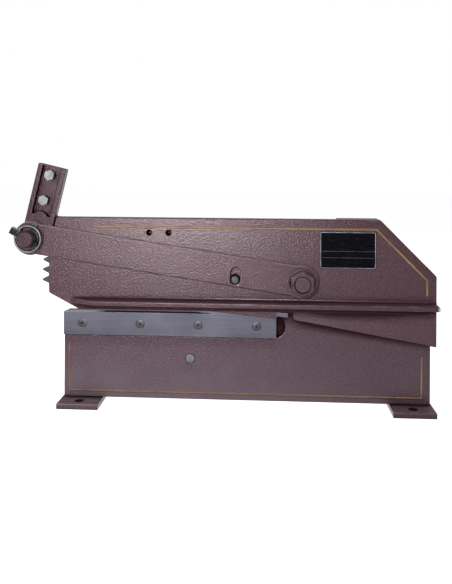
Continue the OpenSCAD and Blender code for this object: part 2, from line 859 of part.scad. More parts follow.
module linch_ring() {
    stub = head_w / 2 - ring_gap - 1.5;
    end_w = ring_r * sin(ring_end);
    color(zinc) on_linch() {
        rotate([90, 0, 0]) rotate([0, 0, ring_end]) rotate_extrude(angle = 360 - 2 * ring_end)
            translate([ring_r, 0]) circle(d = ring_wire, $fn = 32);
        for (s = [-1, 1]) translate([hinge_u, 0, s * (stub + end_w + 1) / 2])
            cylinder(d = ring_stub_d, h = end_w + 1 - stub, center = true);
    }
}

// Hand lever

lever_hub_r = 21.5;
lever_shift = 4.3;
socket_start = 31;
pocket_start = 33;
boss_r = 11;
boss_down = 6;
handle_bolt_v = [54, 89];
socket_floor = lever_front + pocket_depth;

module lever_plate_view() {
    circle(lever_hub_r);
    translate([lever_shift - lever_w / 2, 0]) square([lever_w, lever_l]);
}

// Open at the top; a round boss stands into its lower end
module pocket_view() {
    translate([lever_shift, 0]) difference() {
        translate([-pocket_w / 2, pocket_start]) square([pocket_w, lever_l]);
        translate([0, pocket_start - boss_down]) circle(boss_r);
    }
}

module hand_lever() {
    color(paint) difference() {
        union() {
            slab(lever_front, lever_rear) lever_view() lever_plate_view();
            slab(lever_front, lever_front + socket_t) lever_view()
                translate([lever_shift - lever_w / 2, socket_start]) square([lever_w, lever_l - socket_start]);
        }
        slab(lever_front - cut, socket_floor) lever_view() pocket_view();
        rod(pin_x, pin_z, pin_bush_r, lever_front - cut, lever_rear + cut);
        dowel_places() rod(0, 0, dowel_d / 2, lever_front + 2, lever_rear + cut);
        on_lever() for (v = handle_bolt_v)
            rod(lever_shift, v, handle_bolt_d / 2 + fit, lever_front - cut, lever_front + socket_t + cut);
    }
}

bolt_af = handle_bolt_d * 1.625;
bolt_head_h = handle_bolt_d * 0.7;
handle_nut_h = handle_bolt_d * 0.8;

module handle_bolts() {
    back = lever_front + socket_t + handle_nut_h + 2;
    color(zinc) on_lever() for (v = handle_bolt_v) {
        rod(lever_shift, v, handle_bolt_d / 2, lever_front - cut, back);
        hex_rod(lever_shift, v, bolt_af, lever_front - bolt_head_h, lever_front);
    }
}

module handle_nuts() {
    back = lever_front + socket_t;
    color(zinc) on_lever() for (v = handle_bolt_v) difference() {
        hex_rod(lever_shift, v, bolt_af, back, back + handle_nut_h);
        rod(lever_shift, v, handle_bolt_d / 2, back - cut, back + handle_nut_h + cut);
    }
}

base_body();
left_foot();
right_foot();
foot_screws();
frame_bolt();
lower_blade();
lower_blade_screws();
front_cheek();
cheek_bolts();
toothed_sector();
sector_screws();
stop_pin();
nameplate();
pivot_bolt();
pivot_rear_washer();
pivot_front_washer();
pivot_nut();
knife_arm();
upper_blade();
upper_blade_screws();
arm_bush();
strap_arm();
strap_bush();
lever_pin();
lever_pin_nut();
pin_collar();
linch_pin();
oiler();
hand_lever();
lever_pinion();
pinion_bush();
pinion_dowels();
handle_bolts();
handle_nuts();
linch_ring();
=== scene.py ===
"""Looks of the hand-lever plate shear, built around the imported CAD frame.

The frame gives every piece its place and size. This script rounds the edges, makes the screws,
the painted lines and the plate's rim, gives each piece its finish and sets up the studio.
"""

import json
import logging
import math
from abc import ABC, abstractmethod
from collections.abc import Iterator
from dataclasses import dataclass
from enum import Enum

import bmesh
import bpy
from mathutils import Matrix, Vector

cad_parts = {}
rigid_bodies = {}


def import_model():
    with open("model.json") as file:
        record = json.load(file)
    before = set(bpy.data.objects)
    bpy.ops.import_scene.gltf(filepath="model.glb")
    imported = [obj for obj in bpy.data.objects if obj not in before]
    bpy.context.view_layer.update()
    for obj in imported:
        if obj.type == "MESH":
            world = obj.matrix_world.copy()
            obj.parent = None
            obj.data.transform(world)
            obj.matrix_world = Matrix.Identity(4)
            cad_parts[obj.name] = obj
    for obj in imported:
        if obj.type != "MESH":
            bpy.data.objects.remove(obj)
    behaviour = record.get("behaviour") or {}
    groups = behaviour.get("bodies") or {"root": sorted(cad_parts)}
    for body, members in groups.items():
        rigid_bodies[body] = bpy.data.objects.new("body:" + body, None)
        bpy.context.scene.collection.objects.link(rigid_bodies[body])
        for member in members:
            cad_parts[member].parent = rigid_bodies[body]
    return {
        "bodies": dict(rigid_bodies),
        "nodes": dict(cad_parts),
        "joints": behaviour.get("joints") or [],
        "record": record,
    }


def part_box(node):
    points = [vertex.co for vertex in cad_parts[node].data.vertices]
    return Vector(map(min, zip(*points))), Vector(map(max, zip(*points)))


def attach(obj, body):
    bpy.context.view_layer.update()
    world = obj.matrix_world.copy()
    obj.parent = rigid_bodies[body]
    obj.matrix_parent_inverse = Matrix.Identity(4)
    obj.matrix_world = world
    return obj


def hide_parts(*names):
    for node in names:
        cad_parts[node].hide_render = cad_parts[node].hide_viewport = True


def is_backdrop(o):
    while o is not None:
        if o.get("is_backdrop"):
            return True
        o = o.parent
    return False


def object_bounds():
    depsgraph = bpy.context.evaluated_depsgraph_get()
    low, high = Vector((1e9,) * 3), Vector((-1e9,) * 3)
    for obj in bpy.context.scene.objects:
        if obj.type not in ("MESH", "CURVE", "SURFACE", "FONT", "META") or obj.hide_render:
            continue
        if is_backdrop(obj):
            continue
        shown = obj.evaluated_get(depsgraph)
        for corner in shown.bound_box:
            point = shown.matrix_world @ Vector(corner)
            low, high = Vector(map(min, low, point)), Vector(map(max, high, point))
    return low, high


LOG = logging.getLogger("bench_shear")
MM = 0.001
WEAR = "edge_wear"
# Corners nearer than this are one, in metres
WELD = 0.002 * MM
# Faces that meet at a smaller angle are one face, in degrees
FLAT = 0.4
# Edges sharper than this stay sharp in shading, on CAD pieces and on screws, in degrees
CREASE = 44.0
SCREW_CREASE = 32.0
# Width and thickness of painted lines, in metres
LINE_WIDTH = 3.0 * MM
LINE_HEIGHT = 0.16 * MM

Pair = tuple[float, float]
Triple = tuple[float, float, float]
Colour = Triple
Socket = bpy.types.NodeSocket
Source = Socket | Colour | float


class Slot(Enum):
    """Material slots of the record."""

    PAINT = "paint"
    BLADE = "blade_steel"
    ZINC = "zinc"
    BLACK = "black_steel"
    BRONZE = "bronze"
    PLATE = "plate"


class Body(Enum):
    """Bodies that a piece can ride on."""

    FRAME = "frame"
    ARM = "arm"
    LEVER = "lever"
    RING = "ring"


class TreeSketch:
    """A node tree, with short ways to add nodes and join them."""

    def __init__(self, tree: bpy.types.NodeTree) -> None:
        """Takes a tree and empties it.

        Args:
            tree: the tree that is drawn.
        """
        self.tree = tree
        tree.nodes.clear()

    def put(self, source: Source, target: Socket) -> None:
        """Gives a node's input a link or a value.

        Args:
            source: the socket or the value that it gets.
            target: the input.
        """
        if isinstance(source, Socket):
            self.tree.links.new(source, target)
        else:
            target.default_value = (*source, 1.0) if target.type == "RGBA" else source

    def add(self, kind: str, feeds: dict[str | int, Source] | None = None,
            **options: object) -> bpy.types.Node:
        """Adds a node, sets its options and feeds its inputs.

        Args:
            kind: the node's type.
            feeds: a link or a value for each input, by name or number.
            **options: the node's own settings.

        Returns:
            The node.
        """
        node = self.tree.nodes.new(kind)
        for key, value in options.items():
            setattr(node, key, value)
        for key, source in (feeds or {}).items():
            self.put(source, node.inputs[key])
        return node


class ShaderSketch(TreeSketch):
    """A material's node tree, with short ways to make textures and mixes."""

    def __init__(self, name: str) -> None:
        """Starts a material with one Principled shader.

        Args:
            name: the material's name.
        """
        self.material = bpy.data.materials.new(name)
        self.material.use_nodes = True
        super().__init__(self.material.node_tree)
        self.shader = self.add("ShaderNodeBsdfPrincipled")
        self.add("ShaderNodeOutputMaterial", {"Surface": self.shader.outputs["BSDF"]})
        place = self.add("ShaderNodeTexCoord")
        self.coords, self.normals = place.outputs["Object"], place.outputs["Normal"]

    def set(self, **values: float | Colour) -> None:
        """Sets constants on the shader's own sockets, with _ for a space in a socket's name."""
        for key, value in values.items():
            self.put(value, self.shader.inputs[key.replace("_", " ")])

    def feed(self, socket: Socket, name: str) -> None:
        """Joins a socket to one of the shader's inputs."""
        self.put(socket, self.shader.inputs[name])

    def stretched(self, scale: Triple) -> Socket:
        """Object coordinates with each axis scaled by its own factor."""
        return self.add("ShaderNodeMapping", {"Scale": scale, "Vector": self.coords}).outputs["Vector"]

    def part(self, vector: Socket, axis: str) -> Socket:
        """One axis of a vector."""
        return self.add("ShaderNodeSeparateXYZ", {0: vector}).outputs[axis]

    def noise(self, scale: float, detail: float = 2.0, at: Socket | None = None) -> Socket:
        """Noise between 0 and 1.

        Args:
            scale: features per metre.
            detail: octaves.
            at: coordinates, or None for object coordinates.

        Returns:
            The noise's factor.
        """
        feeds = {"Scale": scale, "Detail": detail, "Vector": at or self.coords}
        return self.add("ShaderNodeTexNoise", feeds).outputs["Fac"]

    def cells(self, scale: float, smooth: float) -> Socket:
        """Distance to the nearest of many scattered points, as hammered enamel shows it.

        Args:
            scale: cells per metre.
            smooth: how far neighbouring cells run together.

        Returns:
            The distance, about 0 to 1.
        """
        feeds = {"Scale": scale, "Smoothness": smooth, "Vector": self.coords}
        return self.add("ShaderNodeTexVoronoi", feeds, feature="SMOOTH_F1").outputs["Distance"]

    def wear(self) -> Socket:
        """The piece's own edge attribute, 1 on rounded edges and 0 elsewhere."""
        return self.add("ShaderNodeAttribute", attribute_name=WEAR).outputs["Fac"]

    def shelter(self, reach: float, lift: float, alone: bool) -> Socket:
        """How open a spot is to what lies before and above it: low in corners and under ledges.

        Args:
            reach: how far a neighbouring face counts, in metres.
            lift: how far the view from the spot is tilted upwards.
            alone: whether only faces of the same piece count.

        Returns:
            The openness, 0 to 1.
        """
        tilt = self.add("ShaderNodeVectorMath", {0: self.normals, 1: (0.0, 0.0, lift)}, operation="ADD")
        unit = self.add("ShaderNodeVectorMath", {0: tilt.outputs[0]}, operation="NORMALIZE")
        feeds = {"Distance": reach, "Normal": unit.outputs[0]}
        return self.add("ShaderNodeAmbientOcclusion", feeds, only_local=alone, samples=8).outputs["AO"]

    def sum(self, kind: str, a: Socket | float, b: Socket | float) -> Socket:
        """A Math node of the given operation on two values."""
        return self.add("ShaderNodeMath", {0: a, 1: b}, operation=kind).outputs[0]

    def span(self, value: Socket, low: float, high: float, to_low: float, to_high: float) -> Socket:
        """Maps a range onto another, clamped.

        Args:
            value: what is mapped.
            low: start of its range.
            high: end of its range.
            to_low: result at the start.
            to_high: result at the end.

        Returns:
            The mapped value.
        """
        feeds = {"Value": value, "From Min": low, "From Max": high, "To Min": to_low, "To Max": to_high}
        return self.add("ShaderNodeMapRange", feeds).outputs["Result"]

    def blend(self, factor: Socket, a: Socket | Colour, b: Socket | Colour) -> Socket:
        """Mixes two colours, with the factor as the second one's share."""
        return self.add("ShaderNodeMix", {"Factor": factor, 6: a, 7: b}, data_type="RGBA").outputs[2]

    def relief(self, height: Socket, strength: float, depth: float) -> None:
        """Bumps the shader's normal.

        Args:
            height: the relief, 0 to 1.
            strength: how strongly it shows.
            depth: height in metres.
        """
        bump = self.add("ShaderNodeBump", {"Strength": strength, "Distance": depth, "Height": height})
        self.feed(bump.outputs["Normal"], "Normal")


@dataclass(frozen=True)
class HammerPaint:
    """Hammered enamel: dimples with darker floors, worn on edges, painted shade in corners, under ledges and
    on faces that look down, dust and a painted lighter tone on top.

    Attributes:
        name: the material's name.
        floor: colour in the dimples.
        crest: colour between them.
        flake: colour of the brightest grains.
        worn: colour of rubbed edges.
        painted_shade: colour of the painted shade in corners, under ledges and on faces that look down.
        dust_top_light: colour of the dust on faces that look up, which also paints them lighter as if lit
            from above.
        cell_scale: dimples per metre.
        grain_scale: grains per metre.
        alone: whether only the piece's own faces cast painted shade on a spot.
        gloss: specular level.
        dust_top_light_share: share of dust and painted lighter tone on faces that look up.
        low_light_share: share of painted light low on the piece, a paler tone in place of light thrown up
            from the floor.
        low_light_colour: colour of that painted light.
        low_light_z: heights at which the painted light is full and at which it ends, in metres.
        low_light_x: X at which the painted light starts to thin out and at which it is thin, in metres.
        reach: how far a neighbouring face casts painted shade on a spot, in metres.
        bare: colour of bare steel at the rib's tip.
        bare_past: X past which and Y before which the paint is gone, in metres.
    """

    name: str = "hammer_paint"
    floor: Colour = (0.024, 0.0042, 0.0070)
    crest: Colour = (0.052, 0.0180, 0.0275)
    flake: Colour = (0.130, 0.110, 0.130)
    worn: Colour = (0.150, 0.088, 0.100)
    painted_shade: Colour = (0.011, 0.0032, 0.0044)
    dust_top_light: Colour = (0.200, 0.145, 0.150)
    cell_scale: float = 560.0
    grain_scale: float = 1300.0
    alone: bool = True
    gloss: float = 0.38
    dust_top_light_share: float = 0.0
    low_light_share: float = 0.0
    low_light_colour: Colour = (0.190, 0.155, 0.185)
    low_light_z: Pair = (0.012, 0.105)
    low_light_x: Pair = (-0.02, 0.20)
    reach: float = 16.0 * MM
    bare: Colour = (0.300, 0.310, 0.310)
    bare_past: Pair = (0.2518, -0.050)

    def build(self) -> bpy.types.Material:
        """Makes the material.

        Returns:
            The finished material.
        """
        s = ShaderSketch(self.name)
        dimple = s.cells(self.cell_scale, 0.55)
        grain = s.noise(self.grain_scale, 3.0)
        broad = s.noise(9.0, 2.0)
        upward = s.part(s.normals, "Z")
        lump = s.sum("ADD", s.sum("MULTIPLY", dimple, 0.75), s.sum("MULTIPLY", grain, 0.5))
        colour = s.blend(s.span(lump, 0.30, 0.75, 0.0, 1.0), self.floor, self.crest)
        colour = s.blend(s.span(grain, 0.58, 0.76, 0.0, 0.55), colour, self.flake)
        rubbed = s.sum("MULTIPLY", s.wear(), s.span(s.noise(70.0, 4.0), 0.48, 0.66, 0.05, 0.55))
        colour = s.blend(rubbed, colour, self.worn)
        # Faces that look up get a dust colour, which also paints them lighter as if lit from above; the same
        # mask makes them rough.
        dust_and_top_light = s.span(upward, 0.2, 0.7, 0.0, 0.9)
        # A paler tone low on the piece, thinning to the right: painted light in place of light thrown up from
        # the floor.
        if self.low_light_share:
            low = s.span(s.part(s.coords, "Z"), *self.low_light_z, self.low_light_share, 0.0)
            left = s.span(s.part(s.coords, "X"), *self.low_light_x, 1.0, 0.25)
            patchy = s.span(s.noise(30.0, 4.0), 0.3, 0.7, 0.8, 1.2)
            painted_light_shade = s.sum("MULTIPLY", s.sum("MULTIPLY", low, left), patchy)
            colour = s.blend(painted_light_shade, colour, self.low_light_colour)
        if self.dust_top_light_share:
            colour = s.blend(s.sum("MULTIPLY", dust_and_top_light, self.dust_top_light_share), colour, self.dust_top_light)
        # Painted shade: darker in corners and under ledges, by ambient occlusion with the view tilted up, and
        # on faces that look down.
        corner = s.span(s.shelter(self.reach, 0.8, self.alone), 0.50, 0.94, 1.0, 0.0)
        painted_shade_mask = s.sum("MAXIMUM", corner, s.span(upward, -0.75, -0.15, 0.95, 0.0))
        right, front = self.bare_past
        tip = s.sum(
            "MULTIPLY", s.span(s.part(s.coords, "X"), right, right + 0.4 * MM, 0.0, 1.0),
            s.span(s.part(s.coords, "Y"), front, front + 0.4 * MM, 1.0, 0.0),
        )
        s.feed(s.blend(tip, s.blend(painted_shade_mask, colour, self.painted_shade), self.bare), "Base Color")
        # Where shade is painted the surface turns metallic with its near-black colour, so it mirrors nothing
        # either.
        s.feed(s.span(painted_shade_mask, 0.0, 1.0, 0.1, 1.0), "Metallic")
        rough = s.span(s.sum("ADD", grain, broad), 0.6, 1.4, 0.22, 0.30)
        s.feed(s.sum("MAXIMUM", rough, dust_and_top_light), "Roughness")
        s.set(Specular_IOR_Level=self.gloss)
        s.relief(lump, 0.8, 0.42 * MM)
        return s.material


@dataclass(frozen=True)
class GroundSteel:
    """Surface-ground steel with fine lines along the blade, faint stains and a painted shadow on top where
    the cheek overhangs it.

    Attributes:
        name: the material's name.
        light: colour of the bright lines.
        dark: colour of the stains.
        painted_light_shade: colour of the painted shadow on faces that look up.
        painted_shadow_start: X at which the painted shadow starts and where it is full, in metres.
        line_scale: stretch of the grinding lines.
    """

    name: str = "ground_steel"
    light: Colour = (0.104, 0.102, 0.128)
    dark: Colour = (0.060, 0.058, 0.076)
    painted_light_shade: Colour = (0.018, 0.016, 0.018)
    painted_shadow_start: Pair = (-0.214, -0.196)
    line_scale: Triple = (6.0, 900.0, 900.0)

    def build(self) -> bpy.types.Material:
        """Makes the material.

        Returns:
            The finished material.
        """
        s = ShaderSketch(self.name)
        lines = s.noise(1.0, 4.0, s.stretched(self.line_scale))
        stain = s.noise(16.0, 4.0)
        mixed = s.sum("ADD", s.sum("MULTIPLY", lines, 0.45), s.sum("MULTIPLY", stain, 0.85))
        steel = s.blend(s.span(mixed, 0.45, 0.85, 0.0, 1.0), self.dark, self.light)
        # Painted shadow: from where the cheek overhangs, faces that look up turn near black and not metallic,
        # so they mirror nothing.
        shadowed_top = s.sum(
            "MULTIPLY", s.span(s.part(s.normals, "Z"), 0.6, 0.9, 0.0, 1.0),
            s.span(s.part(s.coords, "X"), *self.painted_shadow_start, 0.0, 1.0),
        )
        s.feed(s.blend(shadowed_top, steel, self.painted_light_shade), "Base Color")
        s.feed(s.span(mixed, 0.4, 0.9, 0.44, 0.34), "Roughness")
        s.feed(s.span(shadowed_top, 0.0, 1.0, 1.0, 0.0), "Metallic")
        s.set(Anisotropic=0.35, Specular_IOR_Level=0.0)
        s.relief(lines, 0.08, 0.05 * MM)
        return s.material


@dataclass(frozen=True)
class ZincPlate:
    """Zinc-plated steel, cloudy and a little pitted.

    Attributes:
        name: the material's name.
        light: colour of the bright clouds.
        dark: colour between them.
    """

    name: str = "zinc_plate"
    light: Colour = (0.165, 0.165, 0.177)
    dark: Colour = (0.088, 0.088, 0.097)

    def build(self) -> bpy.types.Material:
        """Makes the material.

        Returns:
            The finished material.
        """
        s = ShaderSketch(self.name)
        cloud = s.noise(120.0, 4.0)
        fine = s.noise(1500.0, 2.0)
        s.feed(s.blend(s.span(cloud, 0.35, 0.65, 0.0, 1.0), self.dark, self.light), "Base Color")
        s.feed(s.span(s.sum("ADD", cloud, fine), 0.7, 1.3, 0.36, 0.52), "Roughness")
        s.set(Metallic=1.0)
        s.relief(fine, 0.10, 0.05 * MM)
        return s.material


@dataclass(frozen=True)
class BlackSteel:
    """Blackened steel with brighter rubbed edges.

    Attributes:
        name: the material's name.
        black: colour of the blackening.
        rubbed: colour where it is rubbed away.
    """

    name: str = "black_steel"
    black: Colour = (0.036, 0.035, 0.040)
    rubbed: Colour = (0.200, 0.200, 0.220)

    def build(self) -> bpy.types.Material:
        """Makes the material.

        Returns:
            The finished material.
        """
        s = ShaderSketch(self.name)
        mottle = s.noise(260.0, 4.0)
        edge = s.sum("MULTIPLY", s.wear(), s.span(mottle, 0.35, 0.65, 0.15, 0.75))
        base = s.blend(s.span(mottle, 0.55, 0.75, 0.0, 0.25), self.black, self.rubbed)
        s.feed(s.blend(edge, base, self.rubbed), "Base Color")
        s.feed(s.span(mottle, 0.3, 0.7, 0.34, 0.50), "Roughness")
        s.set(Metallic=0.85)
        s.relief(mottle, 0.12, 0.05 * MM)
        return s.material


@dataclass(frozen=True)
class Bronze:
    """Turned bearing bronze with tool lines round the bore.

    Attributes:
        name: the material's name.
        light: colour of the bright tool lines.
        dark: colour between them.
    """

    name: str = "bearing_bronze"
    light: Colour = (0.58, 0.38, 0.17)
    dark: Colour = (0.36, 0.22, 0.10)

    def build(self) -> bpy.types.Material:
        """Makes the material.

        Returns:
            The finished material.
        """
        s = ShaderSketch(self.name)
        tool = s.noise(1.0, 3.0, s.stretched((60.0, 1800.0, 60.0)))
        s.feed(s.blend(s.span(tool, 0.35, 0.65, 0.0, 1.0), self.dark, self.light), "Base Color")
        s.feed(s.span(tool, 0.3, 0.7, 0.40, 0.26), "Roughness")
        s.set(Metallic=1.0)
        s.relief(tool, 0.15, 0.04 * MM)
        return s.material


@dataclass(frozen=True)
class PlateEnamel:
    """Black enamel of the plate, with faint scuffs.

    Attributes:
        name: the material's name.
        black: colour of the enamel.
        scuff: colour of the scuffs.
    """

    name: str = "plate_enamel"
    black: Colour = (0.0015, 0.0015, 0.003)
    scuff: Colour = (0.006, 0.006, 0.009)

    def build(self) -> bpy.types.Material:
        """Makes the material.

        Returns:
            The finished material.
        """
        s = ShaderSketch(self.name)
        scuffs = s.noise(1.0, 4.0, s.stretched((90.0, 90.0, 420.0)))
        s.feed(s.blend(s.span(scuffs, 0.52, 0.75, 0.0, 1.0), self.black, self.scuff), "Base Color")
        s.feed(s.span(scuffs, 0.35, 0.7, 0.22, 0.40), "Roughness")
        s.set(Specular_IOR_Level=0.03)
        s.relief(scuffs, 0.05, 0.03 * MM)
        return s.material


@dataclass(frozen=True)
class LinePaint:
    """Hand-drawn line of ochre paint, rubbed away in places.

    Attributes:
        name: the material's name.
        ochre: colour of the line.
        faded: colour where it is rubbed.
    """

    name: str = "line_paint"
    ochre: Colour = (0.160, 0.082, 0.024)
    faded: Colour = (0.085, 0.042, 0.040)

    def build(self) -> bpy.types.Material:
        """Makes the material.

        Returns:
            The finished material.
        """
        s = ShaderSketch(self.name)
        rub = s.noise(45.0, 5.0)
        grain = s.noise(700.0, 2.0)
        mixed = s.sum("ADD", s.sum("MULTIPLY", rub, 0.8), s.sum("MULTIPLY", grain, 0.25))
        s.feed(s.blend(s.span(mixed, 0.50, 0.66, 0.0, 1.0), self.ochre, self.faded), "Base Color")
        s.feed(s.span(grain, 0.3, 0.7, 0.38, 0.52), "Roughness")
        s.relief(grain, 0.2, 0.05 * MM)
        return s.material


class Finishes:
    """All the finishes, each made once."""

    def __init__(self) -> None:
        """Makes every material."""
        self.paint = HammerPaint().build()
        # For the body and feet: painted shade also falls under neighbouring pieces, with dust and painted
        # lighter tops and a painted light low down.
        self.seated = HammerPaint(
            "hammer_paint_seated", floor=(0.026, 0.0062, 0.0105), crest=(0.058, 0.0245, 0.0380),
            flake=(0.140, 0.122, 0.148), alone=False, dust_top_light_share=0.35, low_light_share=0.30,
        ).build()
        # For the strap: faces that look up are dust-coloured and painted lighter, so its top edge looks lit.
        self.dusted_top_lit = HammerPaint("hammer_paint_dusted", dust_top_light_share=1.0).build()
        self.handled = HammerPaint(
            "hammer_paint_handled", floor=(0.022, 0.0065, 0.0095), crest=(0.050, 0.0250, 0.0330),
            flake=(0.110, 0.095, 0.108), worn=(0.100, 0.070, 0.080), gloss=0.2,
        ).build()
        self.lines = LinePaint().build()
        self.dull = ZincPlate("dull_zinc", (0.060, 0.058, 0.062), (0.017, 0.016, 0.018)).build()
        # Near-black steel: the linch pin's dark tone, and on the collar a painted shade between pin and snap
        # ring.
        self.dark_shaded = BlackSteel("sooty_steel", (0.009, 0.0085, 0.0090), (0.15, 0.15, 0.16)).build()
        self.bright = ZincPlate("bright_rim", (0.26, 0.265, 0.30), (0.10, 0.105, 0.125)).build()
        self.by_slot: dict[Slot, bpy.types.Material] = {
            Slot.PAINT: self.paint,
            Slot.BLADE: GroundSteel().build(),
            Slot.ZINC: ZincPlate().build(),
            Slot.BLACK: BlackSteel().build(),
            Slot.BRONZE: Bronze().build(),
            Slot.PLATE: PlateEnamel().build(),
        }


@dataclass(frozen=True)
class EdgeRound:
    """How the edges of a piece are rounded.

    Attributes:
        width: width of the round in mm.
        segments: steps across it.
        sharp: least angle of an edge that is rounded, in degrees.
        shorter: edges whose ends are nearer than this many mm stay as they are.
    """

    width: float
    segments: int = 2
    sharp: float = 40.0
    shorter: float = 0.0


class Shop:
    """Turns CAD nodes and node trees into finished pieces."""

    def __init__(self, frame: dict) -> None:
        """Keeps the frame and makes the finishes and the node trees.
        """
        self.nodes: dict[str, bpy.types.Object] = frame["nodes"]
        self.finishes = Finishes()
        self.face_line = FaceLine()
        self.screw_row = ScrewRow()

    def link(self, name: str, mesh: bpy.types.Mesh) -> bpy.types.Object:
        """Puts a mesh into the scene.

        Args:
            name: the piece's name.
            mesh: its mesh, in the row frame.

        Returns:
            The new object, at the origin.
        """
        piece = bpy.data.objects.new(name, mesh)
        bpy.context.scene.collection.objects.link(piece)
        return piece

    def settle(self, piece: bpy.types.Object) -> bpy.types.Object:
        """Turns a piece's modifiers into a plain mesh.

        Args:
            piece: the piece with its modifiers.

        Returns:
            The same object, without modifiers.
        """
        graph = bpy.context.evaluated_depsgraph_get()
        mesh = bpy.data.meshes.new_from_object(
            piece.evaluated_get(graph), preserve_all_data_layers=True, depsgraph=graph
        )
        piece.modifiers.clear()
        piece.data = mesh
        mesh.name = piece.name
        return piece

    def own(self, piece: bpy.types.Object, body: Body, slot: Slot, *stands_for: str) -> bpy.types.Object:
        """Gives a finished piece its body and hides the nodes that it stands for.

        Args:
            piece: the finished piece.
            body: the body that it rides on.
            slot: the record's material slot; not used.
            *stands_for: CAD nodes that it replaces.

        Returns:
            The piece.
        """
        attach(piece, body.value)
        if stands_for:
            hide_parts(*stands_for)
        LOG.info("%s on %s", piece.name, body.value)
        return piece

    def poured(self, name: str, grid: bmesh.types.BMesh, crease: float) -> bpy.types.Object:
        """Puts a built shape into the scene, smooth but for its sharp edges.

        Args:
            name: the piece's name.
            grid: the shape, which is freed.
            crease: angle above which an edge stays sharp, in degrees.

        Returns:
            The new object, at the origin.
        """
        for face in grid.faces:
            face.smooth = True
        for edge in grid.edges:
            edge.smooth = not edge.is_manifold or edge.calc_face_angle(0.0) < math.radians(crease)
        mesh = bpy.data.meshes.new(name)
        grid.to_mesh(mesh)
        grid.free()
        return self.link(name, mesh)

    def rounded(self, name: str, node: str, edges: EdgeRound) -> bpy.types.Object:
        """Copies a CAD node with merged faces and rounded edges.

        Args:
            name: name of the new piece.
            node: the CAD node.
            edges: how its edges are rounded.

        Returns:
            The new piece, with the edge attribute for its finish.
        """
        grid = bmesh.new()
        grid.from_mesh(self.nodes[node].data)
        bmesh.ops.remove_doubles(grid, verts=grid.verts, dist=WELD)
        bmesh.ops.dissolve_degenerate(grid, edges=grid.edges, dist=WELD)
        bmesh.ops.dissolve_limit(grid, angle_limit=math.radians(FLAT), verts=grid.verts, edges=grid.edges)
        wear = grid.faces.layers.float.new(WEAR)
        chosen = [
            e
            for e in grid.edges
            if e.is_manifold
            and e.calc_face_angle(0.0) > math.radians(edges.sharp)
            and e.calc_length() > edges.shorter * MM
        ]
        made = bmesh.ops.bevel(
            grid, geom=chosen, offset=edges.width * MM, offset_type="OFFSET", segments=edges.segments,
            profile=0.5, affect="EDGES", clamp_overlap=False,
        )
        for face in made["faces"]:
            face[wear] = 1.0
        piece = self.poured(name, grid, CREASE)
        weighted = piece.modifiers.new("even_normals", "WEIGHTED_NORMAL")
        weighted.keep_sharp = True
        return self.settle(piece)

    def dressed(self, name: str, node: str, body: Body, slot: Slot, edges: EdgeRound,
                finish: bpy.types.Material | None = None) -> bpy.types.Object:
        """A rounded copy of a CAD node in its slot's finish, which stands for the node.

        Args:
            name: name of the new piece.
            node: the CAD node.
            body: the body that it rides on.
            slot: the record's material slot.
            edges: how its edges are rounded.
            finish: its material, or None for the slot's own.

        Returns:
            The finished piece.
        """
        piece = self.rounded(name, node, edges)
        piece.data.materials.clear()
        piece.data.materials.append(finish or self.finishes.by_slot[slot])
        return self.own(piece, body, slot, node)

    def plain(self, node: str, slot: Slot) -> None:
        """Gives a CAD node that stays as it is its finish.

        Args:
            node: the CAD node.
            slot: the record's material slot.
        """
        mesh = self.nodes[node].data
        mesh.materials.clear()
        mesh.materials.append(self.finishes.by_slot[slot])
        LOG.info("%s keeps its CAD shape", node)


class NodeSketch(TreeSketch):
    """A geometry node tree with named inputs."""

    def __init__(self, name: str, **asked: str) -> None:
        """Starts a tree with its inputs and a geometry output.

        Args:
            name: the tree's name.
            **asked: inputs beside the geometry and the finish, each with its kind of socket.
        """
        super().__init__(bpy.data.node_groups.new(name, "GeometryNodeTree"))
        self.inputs: dict[str, str] = {}
        for label, kind in {"Geometry": "Geometry", **asked, "Finish": "Material"}.items():
            socket = self.tree.interface.new_socket(label, in_out="INPUT", socket_type=f"NodeSocket{kind}")
            self.inputs[label] = socket.identifier
        self.tree.interface.new_socket("Geometry", in_out="OUTPUT", socket_type="NodeSocketGeometry")
        self.entry = self.add("NodeGroupInput")

    def asked(self, label: str) -> Socket:
        """One of the tree's inputs."""
        return self.entry.outputs[label]

    def close(self, geometry: Socket) -> None:
        """Ends the tree in Realize Instances and Set Material.

        Args:
            geometry: what the tree has made.
        """
        real = self.add("GeometryNodeRealizeInstances", {0: geometry})
        feeds = {"Geometry": real.outputs[0], "Material": self.asked("Finish")}
        paint = self.add("GeometryNodeSetMaterial", feeds)
        self.add("NodeGroupOutput", {0: paint.outputs["Geometry"]})

    def run(self, piece: bpy.types.Object, **values: object) -> None:
        """Puts the tree on a piece and sets its inputs by their identifiers.

        Args:
            piece: the object that gets the modifier.
            **values: the inputs by name.
        """
        modifier = piece.modifiers.new(self.tree.name, "NODES")
        modifier.node_group = self.tree
        for name, value in values.items():
            modifier[self.inputs[name]] = value


